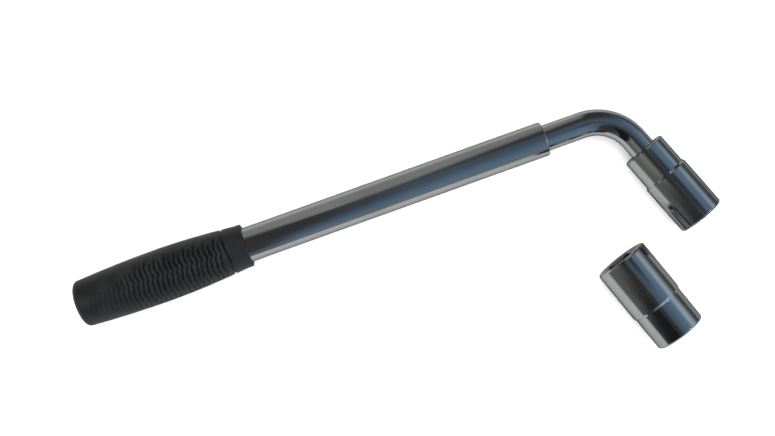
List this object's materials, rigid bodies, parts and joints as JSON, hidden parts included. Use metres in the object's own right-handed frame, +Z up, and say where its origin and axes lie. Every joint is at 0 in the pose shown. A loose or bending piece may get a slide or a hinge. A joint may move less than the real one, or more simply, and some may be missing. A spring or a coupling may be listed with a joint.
{
  "type": "telescopic wheel wrench",
  "caption": "L-shaped telescopic wheel wrench: sliding, swivelling bar in a gripped tube, square drive, stepped double-ended hex sockets, one mounted and one loose.",
  "frame": {"origin": "on the floor, under the middle of the whole set as it lies", "axes": "+X along the handle from the grip to the tube's mouth, +Z up, the arm's leg points towards -Y"},
  "size_m": [0.3884, 0.1592, 0.0335],
  "materials": {
    "tube_chrome": "bright polished chrome plate",
    "bar_chrome": "bright polished chrome plate",
    "socket_chrome": "bright polished chrome plate, duller inside",
    "grip_rubber": "matt moulded, ribbed",
    "spring_steel": "plain oiled",
    "nylon": "natural moulded"
  },
  "bodies": {
    "handle": {"handle_tube": "tube_chrome", "grip": "grip_rubber", "mouth_bush": "nylon", "tube_end_plug": "nylon"},
    "carriage": {"tail_guide_bush": "nylon"},
    "shank": {"bent_shank": "bar_chrome", "tail_washer": "spring_steel", "tail_clip": "spring_steel", "lock_spring": "spring_steel", "drive_spring": "spring_steel"},
    "lock_ball": {"lock_ball": "spring_steel"},
    "drive_ball": {"drive_ball": "spring_steel"},
    "drive_socket": {"drive_socket": "socket_chrome"},
    "spare_socket": {"spare_socket": "socket_chrome"}
  },
  "joints": [
    {"name": "telescope_slide", "type": "slide", "parent": "handle", "child": "carriage", "axis": [1, 0, 0], "range_m": [0, 0.165]},
    {"name": "arm_swivel", "type": "hinge", "parent": "carriage", "child": "shank", "pos_m": [0.1075, 0.06354, 0.0161], "axis": [1, 0, 0], "continuous": true},
    {"name": "lock_ball_press", "type": "slide", "parent": "shank", "child": "lock_ball", "axis": [0, 0, 1], "range_m": [-0.001, 0], "stiffness_N_per_m": 300, "deforming": ["lock_spring"]},
    {"name": "drive_ball_press", "type": "slide", "parent": "shank", "child": "drive_ball", "axis": [0, 0, 1], "range_m": [-0.0008, 0], "stiffness_N_per_m": 300, "deforming": ["drive_spring"]},
    {"name": "drive_socket_pull", "type": "slide", "parent": "shank", "child": "drive_socket", "axis": [0.36, -0.933, 0], "range_m": [0, 0.05]},
    {"name": "spare_socket_lift", "type": "slide", "parent": "handle", "child": "spare_socket", "axis": [0, 0, 1], "range_m": [0, 0.05]}
  ]
}
